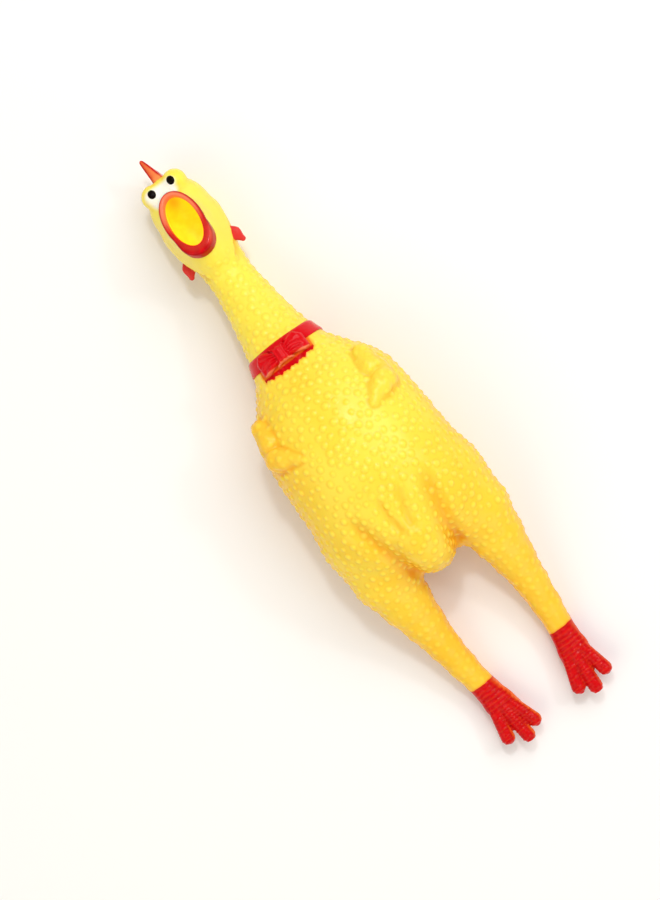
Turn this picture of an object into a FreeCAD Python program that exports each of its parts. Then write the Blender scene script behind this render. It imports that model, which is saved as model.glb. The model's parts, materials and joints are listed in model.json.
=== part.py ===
"""A soft vinyl rubber chicken with a reed squeaker in its neck, lying on its back.

Frame, in millimetres: +Y runs from the feet to the head, +Z is the belly side, +X is the chicken's left.
The origin is under the middle of the toy, on the surface that its back rests on.
The moulding is one hollow skin, divided where it flexes: each fold is a short ring of skin between two
stiffer stretches, and the joints turn about the folds' middles.
"""
import FreeCAD, Part
import math
import os

from FreeCAD import Matrix, Placement, Rotation, Vector

# ---------------------------------------------------------------- driving dimensions
LENGTH = 320.0  # toe tips to comb tip
WALL = 2.2  # vinyl skin
TOE_Y = -LENGTH / 2
COMB_Y = LENGTH / 2
REACH = 70.0  # half the size of the tools that divide the skin

NECK_START = Vector(0, 50, 27.5)  # a point on the neck's axis, in the middle of the collar
NECK_SLOPE = 12.0  # degrees that the neck falls towards the head
LEG_SLOPE = 13.7  # degrees that a leg falls towards its foot
ANKLE_Y = -124.0  # where the foot starts

# Rings of the body, from the crotch to the root of the neck: y, half width, back z, front z, lean in degrees.
BODY_RINGS = [
    (-72.0, 8.0, 24.0, 38.0, 0),
    (-70.5, 15.0, 17.0, 44.0, 0),
    (-66.0, 24.0, 10.0, 49.5, 0),
    (-58.0, 32.0, 4.0, 54.5, 0),
    (-45.0, 38.0, -0.4, 59.0, 0),
    (-30.0, 40.3, -1.4, 61.5, 0),
    (-12.0, 39.5, -1.4, 62.0, 0),
    (6.0, 38.2, -1.1, 61.0, 0),
    (20.0, 37.0, 0.8, 57.5, 0),
    (30.0, 32.5, 4.0, 52.5, -2),
    (38.0, 26.4, 7.8, 47.8, -5),
    (45.0, 21.0, 10.0, 45.2, -9),
]
# Rings of the neck: y and half width. They are round, and centred on the neck's axis.
NECK_RINGS = [(52.0, 17.4), (60.0, 15.3), (69.0, 13.8), (82.0, 11.7), (93.0, 10.6)]
# Rings of the head: y, half width, back z, front z.
HEAD_RINGS = [
    (102.0, 11.2, 5.0, 27.5),
    (109.0, 12.9, 2.2, 30.2),
    (116.0, 14.0, 0.7, 31.8),
    (123.0, 14.6, 0.4, 32.4),
    (130.0, 13.8, 1.2, 31.4),
    (137.0, 11.5, 3.8, 28.4),
    (143.0, 7.8, 7.8, 24.2),
    (146.5, 3.6, 12.5, 19.5),
]
# Rings of the left leg: x, y, z of the middle, half width, half depth.
LEG_RINGS = [
    (25.0, -40.0, 27.0, 15.5, 17.0),
    (26.2, -58.0, 24.5, 14.8, 16.5),
    (25.8, -73.0, 20.6, 12.0, 13.0),
    (25.5, -86.0, 16.8, 9.4, 10.3),
    (25.0, -100.0, 13.3, 7.3, 8.0),
    (24.0, -113.0, 10.1, 6.3, 7.0),
    (22.7, ANKLE_Y, 7.5, 5.8, 6.3),
]
# Rings of the left foot, from the ankle to the roots of the toes, in the same order.
FOOT_RINGS = [
    (22.7, ANKLE_Y, 7.5, 5.8, 6.3),
    (22.2, -131.0, 7.3, 6.3, 5.7),
    (21.4, -139.0, 7.8, 7.7, 4.7),
    (20.5, -146.5, 8.7, 9.2, 3.9),
    (20.3, -150.0, 9.2, 8.6, 2.8),
]
TOE_RADIUS = 3.0
TOE_ROOT = Vector(20.8, -140.0, 8.4)
TOE_TIPS = [Vector(12.4, -151.6, 9.6), Vector(19.9, TOE_Y + TOE_RADIUS, 10.2), Vector(27.6, -152.6, 9.6)]

# Where the skin flexes. On the neck: distance along its axis from NECK_START, and half the fold's length.
NECK_BASE_FOLD = (11.0, 4.6)
NECK_TOP_FOLD = (47.5, 4.2)
# On a leg: y of the fold's middle, and half its length.
HIP_FOLD = (-79.0, 4.5)
KNEE_FOLD = (-99.5, 3.2)
ANKLE_FOLD = (-120.8, 3.2)
FOLD_GAP = 0.3  # between a fold and the stretch that it carries

# The belly panel, which a squeeze pushes in.
PANEL_CENTRE = Vector(0, -14, 0)
PANEL_HALF = (20.0, 27.0)
PANEL_GAP = 0.45

EYE_CENTRE = Vector(5.5, 143.0, 22.4)
EYE_RADIUS = 5.6
PUPIL_LEAN = 14.0  # degrees that the eyes look up towards the crown
PUPIL_HALF = (1.9, 2.3)
PUPIL_DEPTH = 0.5

# The gaping beak: a funnel whose rim faces forward and leans back towards the crown.
MOUTH_CENTRE = Vector(0, 123.2, 34.9)
MOUTH_LEAN = 20.0
MOUTH_HALF = (7.3, 13.6)  # the opening
LIP_WIDTHS = (2.8, 4.8)  # at the top and sides, and under the opening
LIP_HEIGHT = 4.4
FUNNEL_DEPTH = 14.0

COMB_HALF_THICK = (2.8, 1.0)  # deep in the head, and at the tip
COMB_ROOT_Y = 148.6  # the comb bends here
COMB_DEEP_Y = 140.0
COMB_LEAN = 8.0  # degrees that the fin leans to the right
COMB_OUTLINE = [
    (11.0, COMB_DEEP_Y),
    (10.5, 151.0),
    (12.5, 149.6),
    (14.6, 154.4),
    (16.6, 153.2),
    (19.5, COMB_Y),
    (25.6, 147.0),
    (26.0, COMB_DEEP_Y),
]

WATTLE_CENTRE = Vector(12.0, 105.6, 19.0)
WATTLE_HALF = (2.9, 5.6, 3.2)
WATTLE_GAP = 0.35

WING_SHOULDER = Vector(30.0, 27.5, 43.5)
WING_ELBOW = Vector(29.3, 17.0, 46.4)
WING_TIP = Vector(25.0, 10.0, 51.0)
WING_RADII = (6.0, 4.4)  # of the upper arm and of the forearm

COLLAR_SPAN = (-4.8, 2.6)  # distances along the neck's axis
COLLAR_PROUD = 1.4
BOW_CENTRE = Vector(0, 50.6, 43.9)
BOW_HALF_WIDTH = 11.8
BOW_HALF_HEIGHTS = (3.0, 5.0)  # beside the knot, and at its ends
BOW_DEPTH = 4.6
KNOT_HALF = (2.7, 3.6)

# The squeaker, in its own frame: w runs up the neck from the flange, v towards the front.
SQUEAKER_START = 17.0  # distance of the flange along the neck's axis
FLANGE_RADIUS, FLANGE_THICK = 12.3, 2.4
SEAT_GAP = 0.05
TUBE_OUTER, TUBE_INNER, TUBE_END = 7.0, 5.9, 22.0
PORT_RADIUS = 1.5
BLOCK_RADIUS, BLOCK_COLLAR_END, BLOCK_END = 5.8, 5.4, 18.5
GROOVE_HALF, GROOVE_DEPTH = 1.5, 3.4
REED_GAP, REED_THICK, REED_HALF = 0.35, 0.3, 2.6
REED_TIP_W, REED_HINGE_W, CLIP_END_W = 5.9, 15.0, 18.3
CLIP_THICK = 1.8
CAP_THICK, CAP_PLUG = 1.6, 2.0
CAP_HOLE_RADIUS, CAP_HOLES_AT, CAP_HOLES = 0.9, 3.4, 6

RING_POINTS = 12


# ---------------------------------------------------------------- helpers
def ring(centre, half_width, half_depth, lean):
    """A smooth oval wire across the toy. Lean turns it about X, its front edge towards the feet."""
    turn = math.radians(lean)
    points = []
    for step in range(RING_POINTS):
        angle = 2 * math.pi * step / RING_POINTS
        across, depth = half_width * math.cos(angle), half_depth * math.sin(angle)
        points.append(centre + Vector(across, -depth * math.sin(turn), depth * math.cos(turn)))
    curve = Part.BSplineCurve()
    curve.interpolate(Points=points, PeriodicFlag=True)
    return Part.Wire([curve.toShape()])


def loft(wires):
    return Part.makeLoft(wires, True, False)


def neck_direction():
    slope = math.radians(NECK_SLOPE)
    return Vector(0, math.cos(slope), -math.sin(slope))


def neck_point(distance):
    """A point on the neck's axis."""
    return NECK_START + neck_direction() * distance


def neck_axis_z(y):
    return NECK_START.z - (y - NECK_START.y) * math.tan(math.radians(NECK_SLOPE))


def union(shapes):
    fused = shapes[0]
    for shape in shapes[1:]:
        fused = fused.fuse(shape)
    return fused


def mirrored(shape):
    return shape.mirror(Vector(0, 0, 0), Vector(1, 0, 0))


def placed(shape, placement):
    copy = shape.copy()
    copy.Placement = placement.multiply(copy.Placement)
    return copy


def slab(point, direction, thickness):
    """A large block that starts at point and runs along direction."""
    block = Part.makeBox(2 * REACH, 2 * REACH, thickness, Vector(-REACH, -REACH, 0))
    return placed(block, Placement(point, Rotation(Vector(0, 0, 1), direction)))


def ellipsoid(centre, half_x, half_y, half_z):
    matrix = Matrix()
    matrix.scale(half_x, half_y, half_z)
    matrix.move(centre)
    return Part.makeSphere(1).transformGeometry(matrix)


def capsule(start, end, radius):
    """A round bar with round ends."""
    run = end - start
    bar = Part.makeCylinder(radius, run.Length, start, run)
    return union([bar, Part.makeSphere(radius, start), Part.makeSphere(radius, end)])


# ---------------------------------------------------------------- the whole moulding
def trunk(inset):
    """Body, neck and head as one solid, with every ring drawn in by inset."""
    wires = []
    for y, half_width, back, front, lean in BODY_RINGS:
        shift = inset if y < BODY_RINGS[2][0] else 0
        centre = Vector(0, y + shift, (back + front) / 2)
        wires.append(ring(centre, half_width - inset, (front - back) / 2 - inset, lean))
    for y, half in NECK_RINGS:
        wires.append(ring(Vector(0, y, neck_axis_z(y)), half - inset, half - inset, -NECK_SLOPE))
    for y, half_width, back, front in HEAD_RINGS:
        at_crown = y == HEAD_RINGS[-1][0]
        centre = Vector(0, y - (inset if at_crown else 0), (back + front) / 2)
        drawn = inset / 2 if at_crown else inset
        wires.append(ring(centre, half_width - drawn, (front - back) / 2 - drawn, 0))
    return loft(wires)


def leg(inset, overrun):
    """The left leg. An overrun carries its open end past the ankle."""
    wires = [ring(Vector(x, y, z), w - inset, d - inset, LEG_SLOPE) for x, y, z, w, d in LEG_RINGS]
    if overrun:
        x, y, z, w, d = LEG_RINGS[-1]
        wires.append(ring(Vector(x, y - overrun, z), w - inset, d - inset, LEG_SLOPE))
    return loft(wires)


def mouth_placement():
    """Carries a shape drawn about the origin to the mouth, with its Z axis pointing out of the mouth."""
    return Placement(MOUTH_CENTRE, Rotation(Vector(1, 0, 0), -MOUTH_LEAN))


def oval_tube(half_x, half_y, bottom, top, flare):
    """An upright oval solid that is wider by flare at its bottom."""
    wires = []
    for z, more in ((bottom, flare), (top, 0)):
        wires.append(ring(Vector(0, 0, z), half_x + more, half_y + more, 90))
    return loft(wires)


def funnel(inset, depth, top):
    """The beak's funnel, from depth under its rim up to top."""
    half_x = MOUTH_HALF[0] + WALL - inset
    half_y = MOUTH_HALF[1] + WALL - inset
    return placed(oval_tube(half_x, half_y, -depth, top, 1.0), mouth_placement())


def wing():
    """The left wing: a short upper arm and a forearm, moulded onto the chest."""
    upper = capsule(WING_SHOULDER, WING_ELBOW, WING_RADII[0])
    return union([upper, capsule(WING_ELBOW, WING_TIP, WING_RADII[1])])


def floor_block(top):
    """Presses the back flat at the height top."""
    return Part.makeBox(2 * REACH, 2 * LENGTH, REACH, Vector(-REACH, -LENGTH, top - REACH))


def moulding():
    """The moulding's outside as one solid, and the air inside it as another."""
    eye = Part.makeSphere(EYE_RADIUS, EYE_CENTRE)
    limb, limb_air, arm = leg(0, 0), leg(WALL, 3), wing()
    outside = union([trunk(0), eye, mirrored(eye), funnel(0, FUNNEL_DEPTH, 0)])
    outside = union([outside, limb, mirrored(limb), arm, mirrored(arm)])
    air = union([trunk(WALL), funnel(WALL, FUNNEL_DEPTH + WALL, 6), limb_air, mirrored(limb_air)])
    return outside.cut(floor_block(0)), air.cut(floor_block(WALL))


def panel_prism(grown):
    """An upright oval prism over the belly panel."""
    wires = []
    for z in (25.0, REACH):
        centre = Vector(PANEL_CENTRE.x, PANEL_CENTRE.y, z)
        wires.append(ring(centre, PANEL_HALF[0] + grown, PANEL_HALF[1] + grown, 90))
    return loft(wires)


# ---------------------------------------------------------------- stretches of the skin
def neck_slab(start, end):
    return slab(neck_point(start), neck_direction(), end - start)


def leg_slab(start, end):
    """A block over the left leg between two values of y."""
    return Part.makeBox(REACH, start - end, REACH, Vector(0, end, -REACH / 4))


def fold_ends(fold):
    middle, half = fold
    return middle - half, middle + half


def trunk_parts(outside, air):
    """The torso, the belly panel, the neck, the head and the folds between them."""
    base_start, base_end = fold_ends(NECK_BASE_FOLD)
    top_start, top_end = fold_ends(NECK_TOP_FOLD)
    skin = outside.cut(air)
    hip_y = HIP_FOLD[0] + HIP_FOLD[1]
    past_hips = Part.makeBox(2 * REACH, LENGTH, 2 * REACH, Vector(-REACH, hip_y - LENGTH, -REACH))
    torso = skin.cut(past_hips).cut(neck_slab(base_start, LENGTH))
    seat = placed(squeaker_disc(FLANGE_RADIUS + SEAT_GAP, 0, FLANGE_THICK), squeaker_placement())
    return {
        "torso_skin": torso.cut(panel_prism(PANEL_GAP)),
        "belly_panel": torso.common(panel_prism(0)),
        "neck_base_fold": skin.common(neck_slab(base_start, base_end - FOLD_GAP)),
        "neck_skin": skin.common(neck_slab(base_end, top_start)).cut(seat),
        "neck_top_fold": skin.common(neck_slab(top_start, top_end - FOLD_GAP)),
        "head_skin": skin.common(neck_slab(top_end, LENGTH)),
    }


def leg_parts():
    """The left leg's stretches and folds."""
    tube = leg(0, 0).cut(leg(WALL, 3))
    parts = {}
    start = HIP_FOLD[0] + HIP_FOLD[1]
    for fold_name, fold, next_name in (
        ("hip_fold", HIP_FOLD, "thigh"),
        ("knee_fold", KNEE_FOLD, "shank"),
        ("ankle_fold", ANKLE_FOLD, ""),
    ):
        end, start_fold = fold_ends(fold)
        if parts:
            parts[stretch] = tube.common(leg_slab(start, start_fold))
        parts[fold_name] = tube.common(leg_slab(start_fold, end + FOLD_GAP))
        stretch, start = next_name, end
    return parts


def foot():
    """The left foot: a flattened palm and three splayed toes."""
    palm = loft([ring(Vector(x, y, z), w, d, 0) for x, y, z, w, d in FOOT_RINGS])
    return union([palm] + [capsule(TOE_ROOT, tip, TOE_RADIUS) for tip in TOE_TIPS])


# ---------------------------------------------------------------- raised and coloured details
def pupil():
    """The left pupil: a thin oval on the front of the eye."""
    lean = Rotation(Vector(1, 0, 0), -PUPIL_LEAN)
    prism = oval_tube(PUPIL_HALF[0], PUPIL_HALF[1], 0, 2 * EYE_RADIUS, 0)
    skin = Part.makeSphere(EYE_RADIUS + PUPIL_DEPTH, EYE_CENTRE).cut(Part.makeSphere(EYE_RADIUS, EYE_CENTRE))
    return skin.common(placed(prism, Placement(EYE_CENTRE, lean)))


def mouth_rim():
    """The lips: a rim on top of the funnel, widest under the opening."""
    side, under = LIP_WIDTHS
    outer = oval_tube(MOUTH_HALF[0] + side, MOUTH_HALF[1] + (side + under) / 2, 0, LIP_HEIGHT, 0)
    outer.translate(Vector(0, (side - under) / 2, 0))
    hole = oval_tube(MOUTH_HALF[0], MOUTH_HALF[1], -1, LIP_HEIGHT + 1, 0)
    return placed(outer.cut(hole), mouth_placement())


def comb_parts(outside):
    """The comb's fin, and its root, which bends."""
    deep, tip = COMB_HALF_THICK
    points = [Vector(-deep, y, z) for z, y in COMB_OUTLINE]
    fin = Part.Face(Part.makePolygon(points + points[:1])).extrude(Vector(2 * deep, 0, 0))
    corners = [(-deep, COMB_DEEP_Y), (deep, COMB_DEEP_Y), (tip, COMB_Y), (-tip, COMB_Y)]
    points = [Vector(x, y, 0) for x, y in corners]
    fin = fin.common(Part.Face(Part.makePolygon(points + points[:1])).extrude(Vector(0, 0, REACH)))
    fin.rotate(Vector(0, COMB_ROOT_Y, 0), Vector(0, 0, 1), COMB_LEAN)
    split = slab(Vector(0, COMB_ROOT_Y, 0), Vector(0, 1, 0), REACH)
    near = slab(Vector(0, COMB_ROOT_Y - FOLD_GAP, 0), Vector(0, 1, 0), REACH)
    return {"comb": fin.common(split), "comb_root": fin.cut(near).cut(outside)}


def wattle():
    """The left wattle, clear of the jaw."""
    leaf = ellipsoid(WATTLE_CENTRE, WATTLE_HALF[0], WATTLE_HALF[1], WATTLE_HALF[2])
    return leaf.cut(trunk(-WATTLE_GAP))


def neckwear():
    """The collar round the root of the neck, and the bow on its front."""
    start, end = COLLAR_SPAN
    under = trunk(-COLLAR_PROUD)
    collar = under.common(neck_slab(start, end)).cut(trunk(0))
    front = Rotation(Vector(1, 0, 0), -NECK_SLOPE)
    lobe_wires = []
    for across, half_height in zip((KNOT_HALF[0], BOW_HALF_WIDTH), BOW_HALF_HEIGHTS):
        corners = [(-half_height, -BOW_DEPTH), (half_height, -BOW_DEPTH), (half_height, 0), (-half_height, 0)]
        points = [Vector(across, y, z) for y, z in corners]
        lobe_wires.append(Part.makePolygon(points + points[:1]))
    where = Placement(BOW_CENTRE + Vector(0, 0, BOW_DEPTH), front)
    lobe = placed(Part.makeLoft(lobe_wires, True, True), where).cut(under)
    across, along = KNOT_HALF
    knot = Part.makeBox(2 * across, 2 * along, BOW_DEPTH + 1, Vector(-across, -along, -BOW_DEPTH))
    return {
        "collar": collar,
        "bow_loop_left": lobe,
        "bow_loop_right": mirrored(lobe),
        "bow_knot": placed(knot, where).cut(under),
    }


# ---------------------------------------------------------------- the squeaker
def squeaker_placement():
    """Local Z runs up the neck and local Y points to the front."""
    slope = math.radians(NECK_SLOPE)
    front = Vector(0, math.sin(slope), math.cos(slope))
    turn = Rotation(Vector(-1, 0, 0), front, neck_direction(), "XYZ")
    return Placement(neck_point(SQUEAKER_START), turn)


def squeaker_disc(radius, start, end):
    return Part.makeCylinder(radius, end - start, Vector(0, 0, start))


def squeaker_housing():
    """A flange that plugs the neck, and a tube for the reed."""
    tube = squeaker_disc(TUBE_OUTER, FLANGE_THICK, TUBE_END).cut(squeaker_disc(TUBE_INNER, FLANGE_THICK, TUBE_END))
    return squeaker_disc(FLANGE_RADIUS, 0, FLANGE_THICK).fuse(tube).cut(squeaker_disc(PORT_RADIUS, -1, 4))


def reed_block():
    """A plug with a half-round tongue of its own, and an air groove down its flat."""
    plug = squeaker_disc(BLOCK_RADIUS, FLANGE_THICK, BLOCK_COLLAR_END)
    half = squeaker_disc(BLOCK_RADIUS, BLOCK_COLLAR_END, BLOCK_END)
    front = Part.makeBox(4 * BLOCK_RADIUS, 2 * BLOCK_RADIUS, TUBE_END, Vector(-2 * BLOCK_RADIUS, 0, BLOCK_COLLAR_END))
    groove_size = (2 * GROOVE_HALF, GROOVE_DEPTH, REED_HINGE_W - 1 - FLANGE_THICK)
    groove = Part.makeBox(*groove_size, Vector(-GROOVE_HALF, -GROOVE_DEPTH, FLANGE_THICK))
    return plug.fuse(half.cut(front)).cut(groove)


def reed_tongue():
    run = REED_HINGE_W - REED_TIP_W
    return Part.makeBox(2 * REED_HALF, REED_THICK, run, Vector(-REED_HALF, REED_GAP, REED_TIP_W))


def reed_clip():
    """Clamps the root of the reed on the block."""
    start = REED_HINGE_W + FOLD_GAP
    return Part.makeBox(2 * REED_HALF, CLIP_THICK, CLIP_END_W - start, Vector(-REED_HALF, 0, start))


def squeaker_cap():
    """A perforated lid that plugs into the tube's end."""
    cap = squeaker_disc(TUBE_OUTER, TUBE_END, TUBE_END + CAP_THICK)
    cap = cap.fuse(squeaker_disc(TUBE_INNER - SEAT_GAP, TUBE_END - CAP_PLUG, TUBE_END))
    for step in range(CAP_HOLES):
        angle = 2 * math.pi * step / CAP_HOLES
        at = Vector(CAP_HOLES_AT * math.cos(angle), CAP_HOLES_AT * math.sin(angle), TUBE_END - CAP_PLUG - 1)
        cap = cap.cut(Part.makeCylinder(CAP_HOLE_RADIUS, CAP_PLUG + CAP_THICK + 2, at))
    return cap


# ---------------------------------------------------------------- every node
def all_parts():
    outside, air = moulding()
    parts = trunk_parts(outside, air)
    sided = leg_parts()
    sided["foot"] = foot()
    sided["pupil"] = pupil()
    sided["wattle"] = wattle()
    for name, shape in sided.items():
        parts["left_" + name] = shape
        parts["right_" + name] = mirrored(shape)
    parts["mouth_rim"] = mouth_rim()
    parts.update(comb_parts(outside))
    parts.update(neckwear())
    squeaker = {
        "squeaker_housing": squeaker_housing(),
        "reed_block": reed_block(),
        "reed_tongue": reed_tongue(),
        "reed_clip": reed_clip(),
        "squeaker_cap": squeaker_cap(),
    }
    for name, shape in squeaker.items():
        parts[name] = placed(shape, squeaker_placement())
    return parts


def save(parts):
    os.makedirs("parts", exist_ok=True)
    for name, shape in parts.items():
        if len(shape.Solids) != 1:
            raise ValueError("%s has %d solids" % (name, len(shape.Solids)))
        shape.Solids[0].exportStep("parts/%s.step" % name)


save(all_parts())
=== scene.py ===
"""A soft vinyl rubber chicken lying on its back, head towards +Y and belly up.

The moulding is drawn as one signed distance field, meshed, covered in goose bumps, and then divided into
pieces along the CAD bodies. Lengths in the functions are millimetres; meshes are in metres.
"""

import json
import math

import bpy
import numpy as np
import openvdb
from mathutils import Matrix, Vector, kdtree

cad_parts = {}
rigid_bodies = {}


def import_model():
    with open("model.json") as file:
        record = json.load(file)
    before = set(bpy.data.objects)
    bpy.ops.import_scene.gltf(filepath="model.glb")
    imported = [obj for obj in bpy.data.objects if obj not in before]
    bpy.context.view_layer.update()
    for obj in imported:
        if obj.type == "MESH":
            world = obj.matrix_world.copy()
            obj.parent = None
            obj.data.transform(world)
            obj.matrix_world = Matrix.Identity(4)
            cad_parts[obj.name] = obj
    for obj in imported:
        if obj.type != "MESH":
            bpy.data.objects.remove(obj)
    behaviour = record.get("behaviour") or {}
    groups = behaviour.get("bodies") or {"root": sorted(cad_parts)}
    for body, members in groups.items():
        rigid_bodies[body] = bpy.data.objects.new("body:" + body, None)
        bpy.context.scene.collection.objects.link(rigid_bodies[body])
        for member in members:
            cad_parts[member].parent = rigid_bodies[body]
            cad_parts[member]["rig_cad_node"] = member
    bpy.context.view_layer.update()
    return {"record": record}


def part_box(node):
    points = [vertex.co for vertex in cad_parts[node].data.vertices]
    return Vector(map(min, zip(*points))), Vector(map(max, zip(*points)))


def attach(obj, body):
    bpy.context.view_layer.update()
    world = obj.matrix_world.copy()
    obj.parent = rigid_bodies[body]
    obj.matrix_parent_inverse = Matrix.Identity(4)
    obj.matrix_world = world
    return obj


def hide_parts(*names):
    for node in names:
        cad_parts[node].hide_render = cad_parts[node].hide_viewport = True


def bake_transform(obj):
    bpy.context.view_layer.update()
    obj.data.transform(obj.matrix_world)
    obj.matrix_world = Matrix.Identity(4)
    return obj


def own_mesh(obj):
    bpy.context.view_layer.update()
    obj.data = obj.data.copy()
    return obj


MM = 0.001
SIDES = (("left", 1), ("right", -1))  # each side's name, and the sign of its X
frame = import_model()


def box_mm(node):
    """The lowest and the highest corner of a CAD node, in millimetres."""
    low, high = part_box(node)
    return np.array(low) / MM, np.array(high) / MM


# ---- where the CAD parts are
JOINTS = {joint["name"]: joint for joint in frame["record"]["behaviour"]["joints"]}


def joint_at(name):
    """The point that a hinge turns about, in millimetres."""
    return np.array(JOINTS[name]["pos_m"]) / MM


NECK_BASE = joint_at("neck_sway")
NECK_TOP = joint_at("head_nod")
NECK_LENGTH = np.linalg.norm(NECK_TOP - NECK_BASE)
NECK_AXIS = (NECK_TOP - NECK_BASE) / NECK_LENGTH
COMB_LOW = box_mm("comb")[0]
PANEL_HIGH = box_mm("belly_panel")[1]
FOOT_LOW, FOOT_HIGH = box_mm("left_foot")

# ---- the moulding's sizes
VOXEL = 1.2
CROWN_Y = 147.0  # the top of the head
# The corners of the box that the skin is meshed in.
GRID_LOW = (COMB_LOW[0] - 48, FOOT_LOW[1] - 3, -3)
GRID_HIGH = (48, CROWN_Y + 4, PANEL_HIGH[2] + 4)
# Sections of the trunk: y, half width, back z, front z.
TRUNK = np.array([
    (-30.0, 39.6, -1.4, 61.5),
    (-12.0, 38.9, -1.4, 62.0),
    (6.0, 37.9, -1.1, 61.0),
    (20.0, 36.2, 0.8, 57.5),
    (30.0, 31.5, 4.0, 52.8),
    (38.0, 25.6, 7.8, 47.9),
    (45.0, 20.6, 10.0, 45.2),
    (52.0, 17.5, 9.7, 44.5),
    (60.0, 15.3, 10.0, 40.7),
    (69.0, 13.7, 9.6, 37.3),
    (82.0, 11.7, 9.0, 32.5),
    (93.0, 10.6, 7.8, 29.2),
    (102.0, 11.3, 5.0, 28.2),
    (109.0, 13.1, 2.2, 30.4),
    (116.0, 14.5, 0.7, 31.8),
    (123.0, 15.2, 0.5, 32.4),
    (130.0, 14.2, 1.4, 31.6),
])
RUMP_LENGTH = 37.0  # the trunk's rounded lower end
CROWN_LENGTH = CROWN_Y - TRUNK[-1, 0]
# The left leg: x, y, z and radius at each joint of the limb.
LEG = np.array([
    (25.2, -40.0, 27.5, 15.6),
    (26.2, -58.0, 25.0, 15.0),
    (25.9, -73.0, 20.8, 12.2),
    (25.5, -86.0, 16.8, 9.7),
    (25.0, -100.0, 13.3, 7.6),
    (24.0, -113.0, 10.2, 6.6),
    (22.7, -125.0, 7.6, 5.9),
])
VENT_CENTRE, VENT_HALF = (0.0, -45.5, 35.0), (17.5, 24.6, 26.5)
# The left foot's palm: x, y, z and radius.
PALM = np.array([
    (22.7, -124.0, 7.6, 5.9),
    (22.0, -130.0, 7.3, 6.0),
    (21.2, -137.0, 7.4, 7.0),
    (19.9, -142.4, 7.4, 7.2),
])
PALM_Z, PALM_SQUASH = 7.4, 0.75  # the height that it is flattened to, and how much more than round
PALM_SQUASH_Y = (-126.0, -141.0)  # where the flattening starts, and where it is full
# Its toes: where each starts and ends, with the radius there.
TOES = [
    ((19.4, -131.0, 8.6), (FOOT_LOW[0] + 3.2, -152.6, 9.2), 2.6, 3.35),
    ((21.4, -131.0, 9.4), (19.2, FOOT_LOW[1] + 3.4, 9.6), 2.7, 3.4),
    ((23.6, -131.0, 8.6), (FOOT_HIGH[0] - 3.0, -152.4, 9.2), 2.6, 3.35),
]
TOES_Y = -140.0  # where the toes' finer ribs take over from the palm's
RIB_GAPS, RIB_HEIGHTS = (2.3, 1.6), (0.38, 0.32)  # on the palm, and on the toes
RIB_GROOVE = -0.4  # how low the gap between two ribs goes, where a rib's top is 1
RIBS_Y, RIBS_Z = (-125.5, -127.0), (9.0, 11.0)  # where the ribs fade in
PAINT_Y = FOOT_HIGH[1] - 1.4  # where the feet's red paint starts
# The left wing's lobes: where each starts and ends, the radii there, and how widely it joins those before it.
WING_LOBES = [
    ((28.2, 28.4, 41.4), (28.0, 21.2, 45.6), 4.6, 5.4, 0.8),
    ((28.8, 13.4, 47.4), (27.0, 11.8, 50.0), 6.2, 5.2, 0.8),
    ((29.6, 19.0, 42.6), (29.6, 12.6, 44.6), 5.4, 5.6, 2.0),
    ((24.2, 10.6, 52.0), (20.6, 7.9, 54.9), 3.7, 2.3, 1.2),
]
EYE_CENTRE, EYE_HALF = (6.0, 142.4, 22.6), (5.7, 5.7, 6.3)
BROW_CENTRE, BROW_HALF = (0.0, 141.9, 20.0), (5.4, 6.5, 6.6)  # between the eyes
# How widely each part runs into what it joins.
LIMB_BLEND, PALM_BLEND, TOE_BLEND = 1.5, 2.0, 0.5
LEG_BLEND, VENT_BLEND, FOOT_BLEND, WING_BLEND = 9.0, 1.6, 1.2, 1.5
BROW_BLEND, EYE_BLEND, BEAK_BLEND, THROAT_BLEND = 2.0, 1.8, 3.0, 2.0
RIM_ROUNDING, BACK_ROUNDING = 1.2, 1.5
# The valleys on both sides of the vent, and two short creases on the belly above it, in plan.
VENT_EDGE = [(20.5, -24.0), (19.0, -32.0), (16.2, -44.0), (13.8, -54.0), (12.0, -62.0), (10.5, -68.0)]
CREASES = [
    [(8.0, -25.5), (6.2, -30.0), (3.4, -36.5), (2.2, -43.0), (2.6, -46.0)],
    [(-3.0, -25.5), (-4.4, -30.0), (-4.6, -36.5), (-3.6, -43.0), (-2.4, -46.0)],
]
VENT_EDGE_SIZE, CREASE_SIZE = (3.6, 3.1), (2.1, 1.6)  # width and depth
VALLEYS_Z = (26.0, 36.0)  # they fade in between these heights
MOUTH_LEAN = math.radians(20.0)
MOUTH_CENTRE = (0.0, 123.2, 34.9)
MOUTH_HALF = (7.3, 14.1)
SKIN = 2.2
BEAK_LENGTH, BEAK_RISE = 16, 2.0  # how far the beak's wall goes in from the mouth's plane, and out
BEAK_FLARE = 0.03  # how much it widens with each millimetre inwards
PASSAGE_IN, PASSAGE_OUT = 17, 12  # how far the opening is cut inwards and outwards
THROAT_Y = 97.5  # where the throat is closed off, clear of the squeaker when the head nods


# ---- signed distances
def smooth_min(a, b, k):
    """The smaller of two, rounded over where they are within k of each other."""
    h = np.clip(0.5 + 0.5 * (b - a) / k, 0, 1)
    return b * (1 - h) + a * h - k * h * (1 - h)


def smooth_max(a, b, k):
    return -smooth_min(-a, -b, k)


def ease(x, start, end):
    """0 at start and 1 at end, with an even curve between. End may be below start."""
    t = np.clip((x - start) / (end - start), 0, 1)
    return t * t * (3 - 2 * t)


def bell(x, middle, width):
    """1 at the middle, and near 0 beyond twice the width from it."""
    return np.exp(-(((x - middle) / width) ** 2))


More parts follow.
